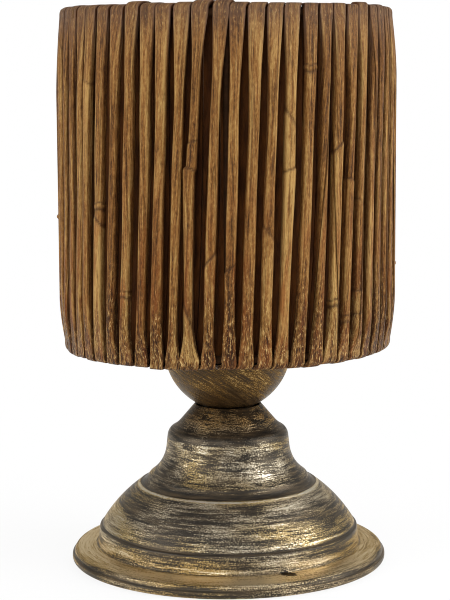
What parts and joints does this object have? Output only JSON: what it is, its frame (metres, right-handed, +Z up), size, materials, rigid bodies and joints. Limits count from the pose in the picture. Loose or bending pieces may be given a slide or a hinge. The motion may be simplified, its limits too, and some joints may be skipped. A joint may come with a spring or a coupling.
{
  "type": "candle lamp with shade",
  "caption": "Table candle lamp: a spun metal bell base carries a small bowl for a tealight, and a drum shade wound from cane strip rests on the bowl's rim and lifts off.",
  "frame": {"origin": "on the lamp's axis, on the surface that the foot stands on", "axes": "+Z up along the lamp's axis; the pictured front faces -Y"},
  "size_m": [0.1312, 0.1312, 0.2152],
  "materials": {
    "brushed_gold_base": "charcoal paint dry-brushed with gold",
    "brown_gold_bowl": "brown-gold paint, brushed",
    "zinc_fixings": "zinc-plated",
    "black_wire": "dark painted wire",
    "cane": "stained and thinly varnished cane",
    "tealight_foil": "bright drawn aluminium",
    "wax": "white candle wax",
    "wick_cotton": "waxed cotton"
  },
  "bodies": {
    "stand": {"pedestal_base": "brushed_gold_base", "candle_bowl": "brown_gold_bowl", "bowl_washer": "zinc_fixings", "tie_bolt": "zinc_fixings", "clamp_disc": "zinc_fixings", "spring_washer": "zinc_fixings", "tie_nut": "zinc_fixings"},
    "shade": {"shade_bottom_ring": "black_wire", "shade_top_ring": "black_wire", "carrier_ring": "black_wire", "carrier_arm_1": "black_wire", "carrier_arm_2": "black_wire", "carrier_arm_3": "black_wire", "shade_upright_1": "black_wire", "shade_upright_2": "black_wire", "shade_upright_3": "black_wire", "cane_strip_01": "cane", "cane_strip_02": "cane", "cane_strip_03": "cane", "cane_strip_04": "cane", "cane_strip_05": "cane", "cane_strip_06": "cane", "cane_strip_07": "cane", "cane_strip_08": "cane", "cane_strip_09": "cane", "cane_strip_10": "cane", "cane_strip_11": "cane", "cane_strip_12": "cane", "cane_strip_13": "cane", "cane_strip_14": "cane", "cane_strip_15": "cane"},
    "tealight": {"tealight_cup": "tealight_foil", "tealight_wax": "wax", "wick_tab": "tealight_foil", "wick": "wick_cotton"}
  },
  "joints": [
    {"name": "shade_lift", "type": "slide", "parent": "stand", "child": "shade", "axis": [0, 0, 1], "range_m": [0, 0.12]},
    {"name": "tealight_lift", "type": "slide", "parent": "stand", "child": "tealight", "axis": [0, 0, 1], "range_m": [0, 0.16]}
  ]
}
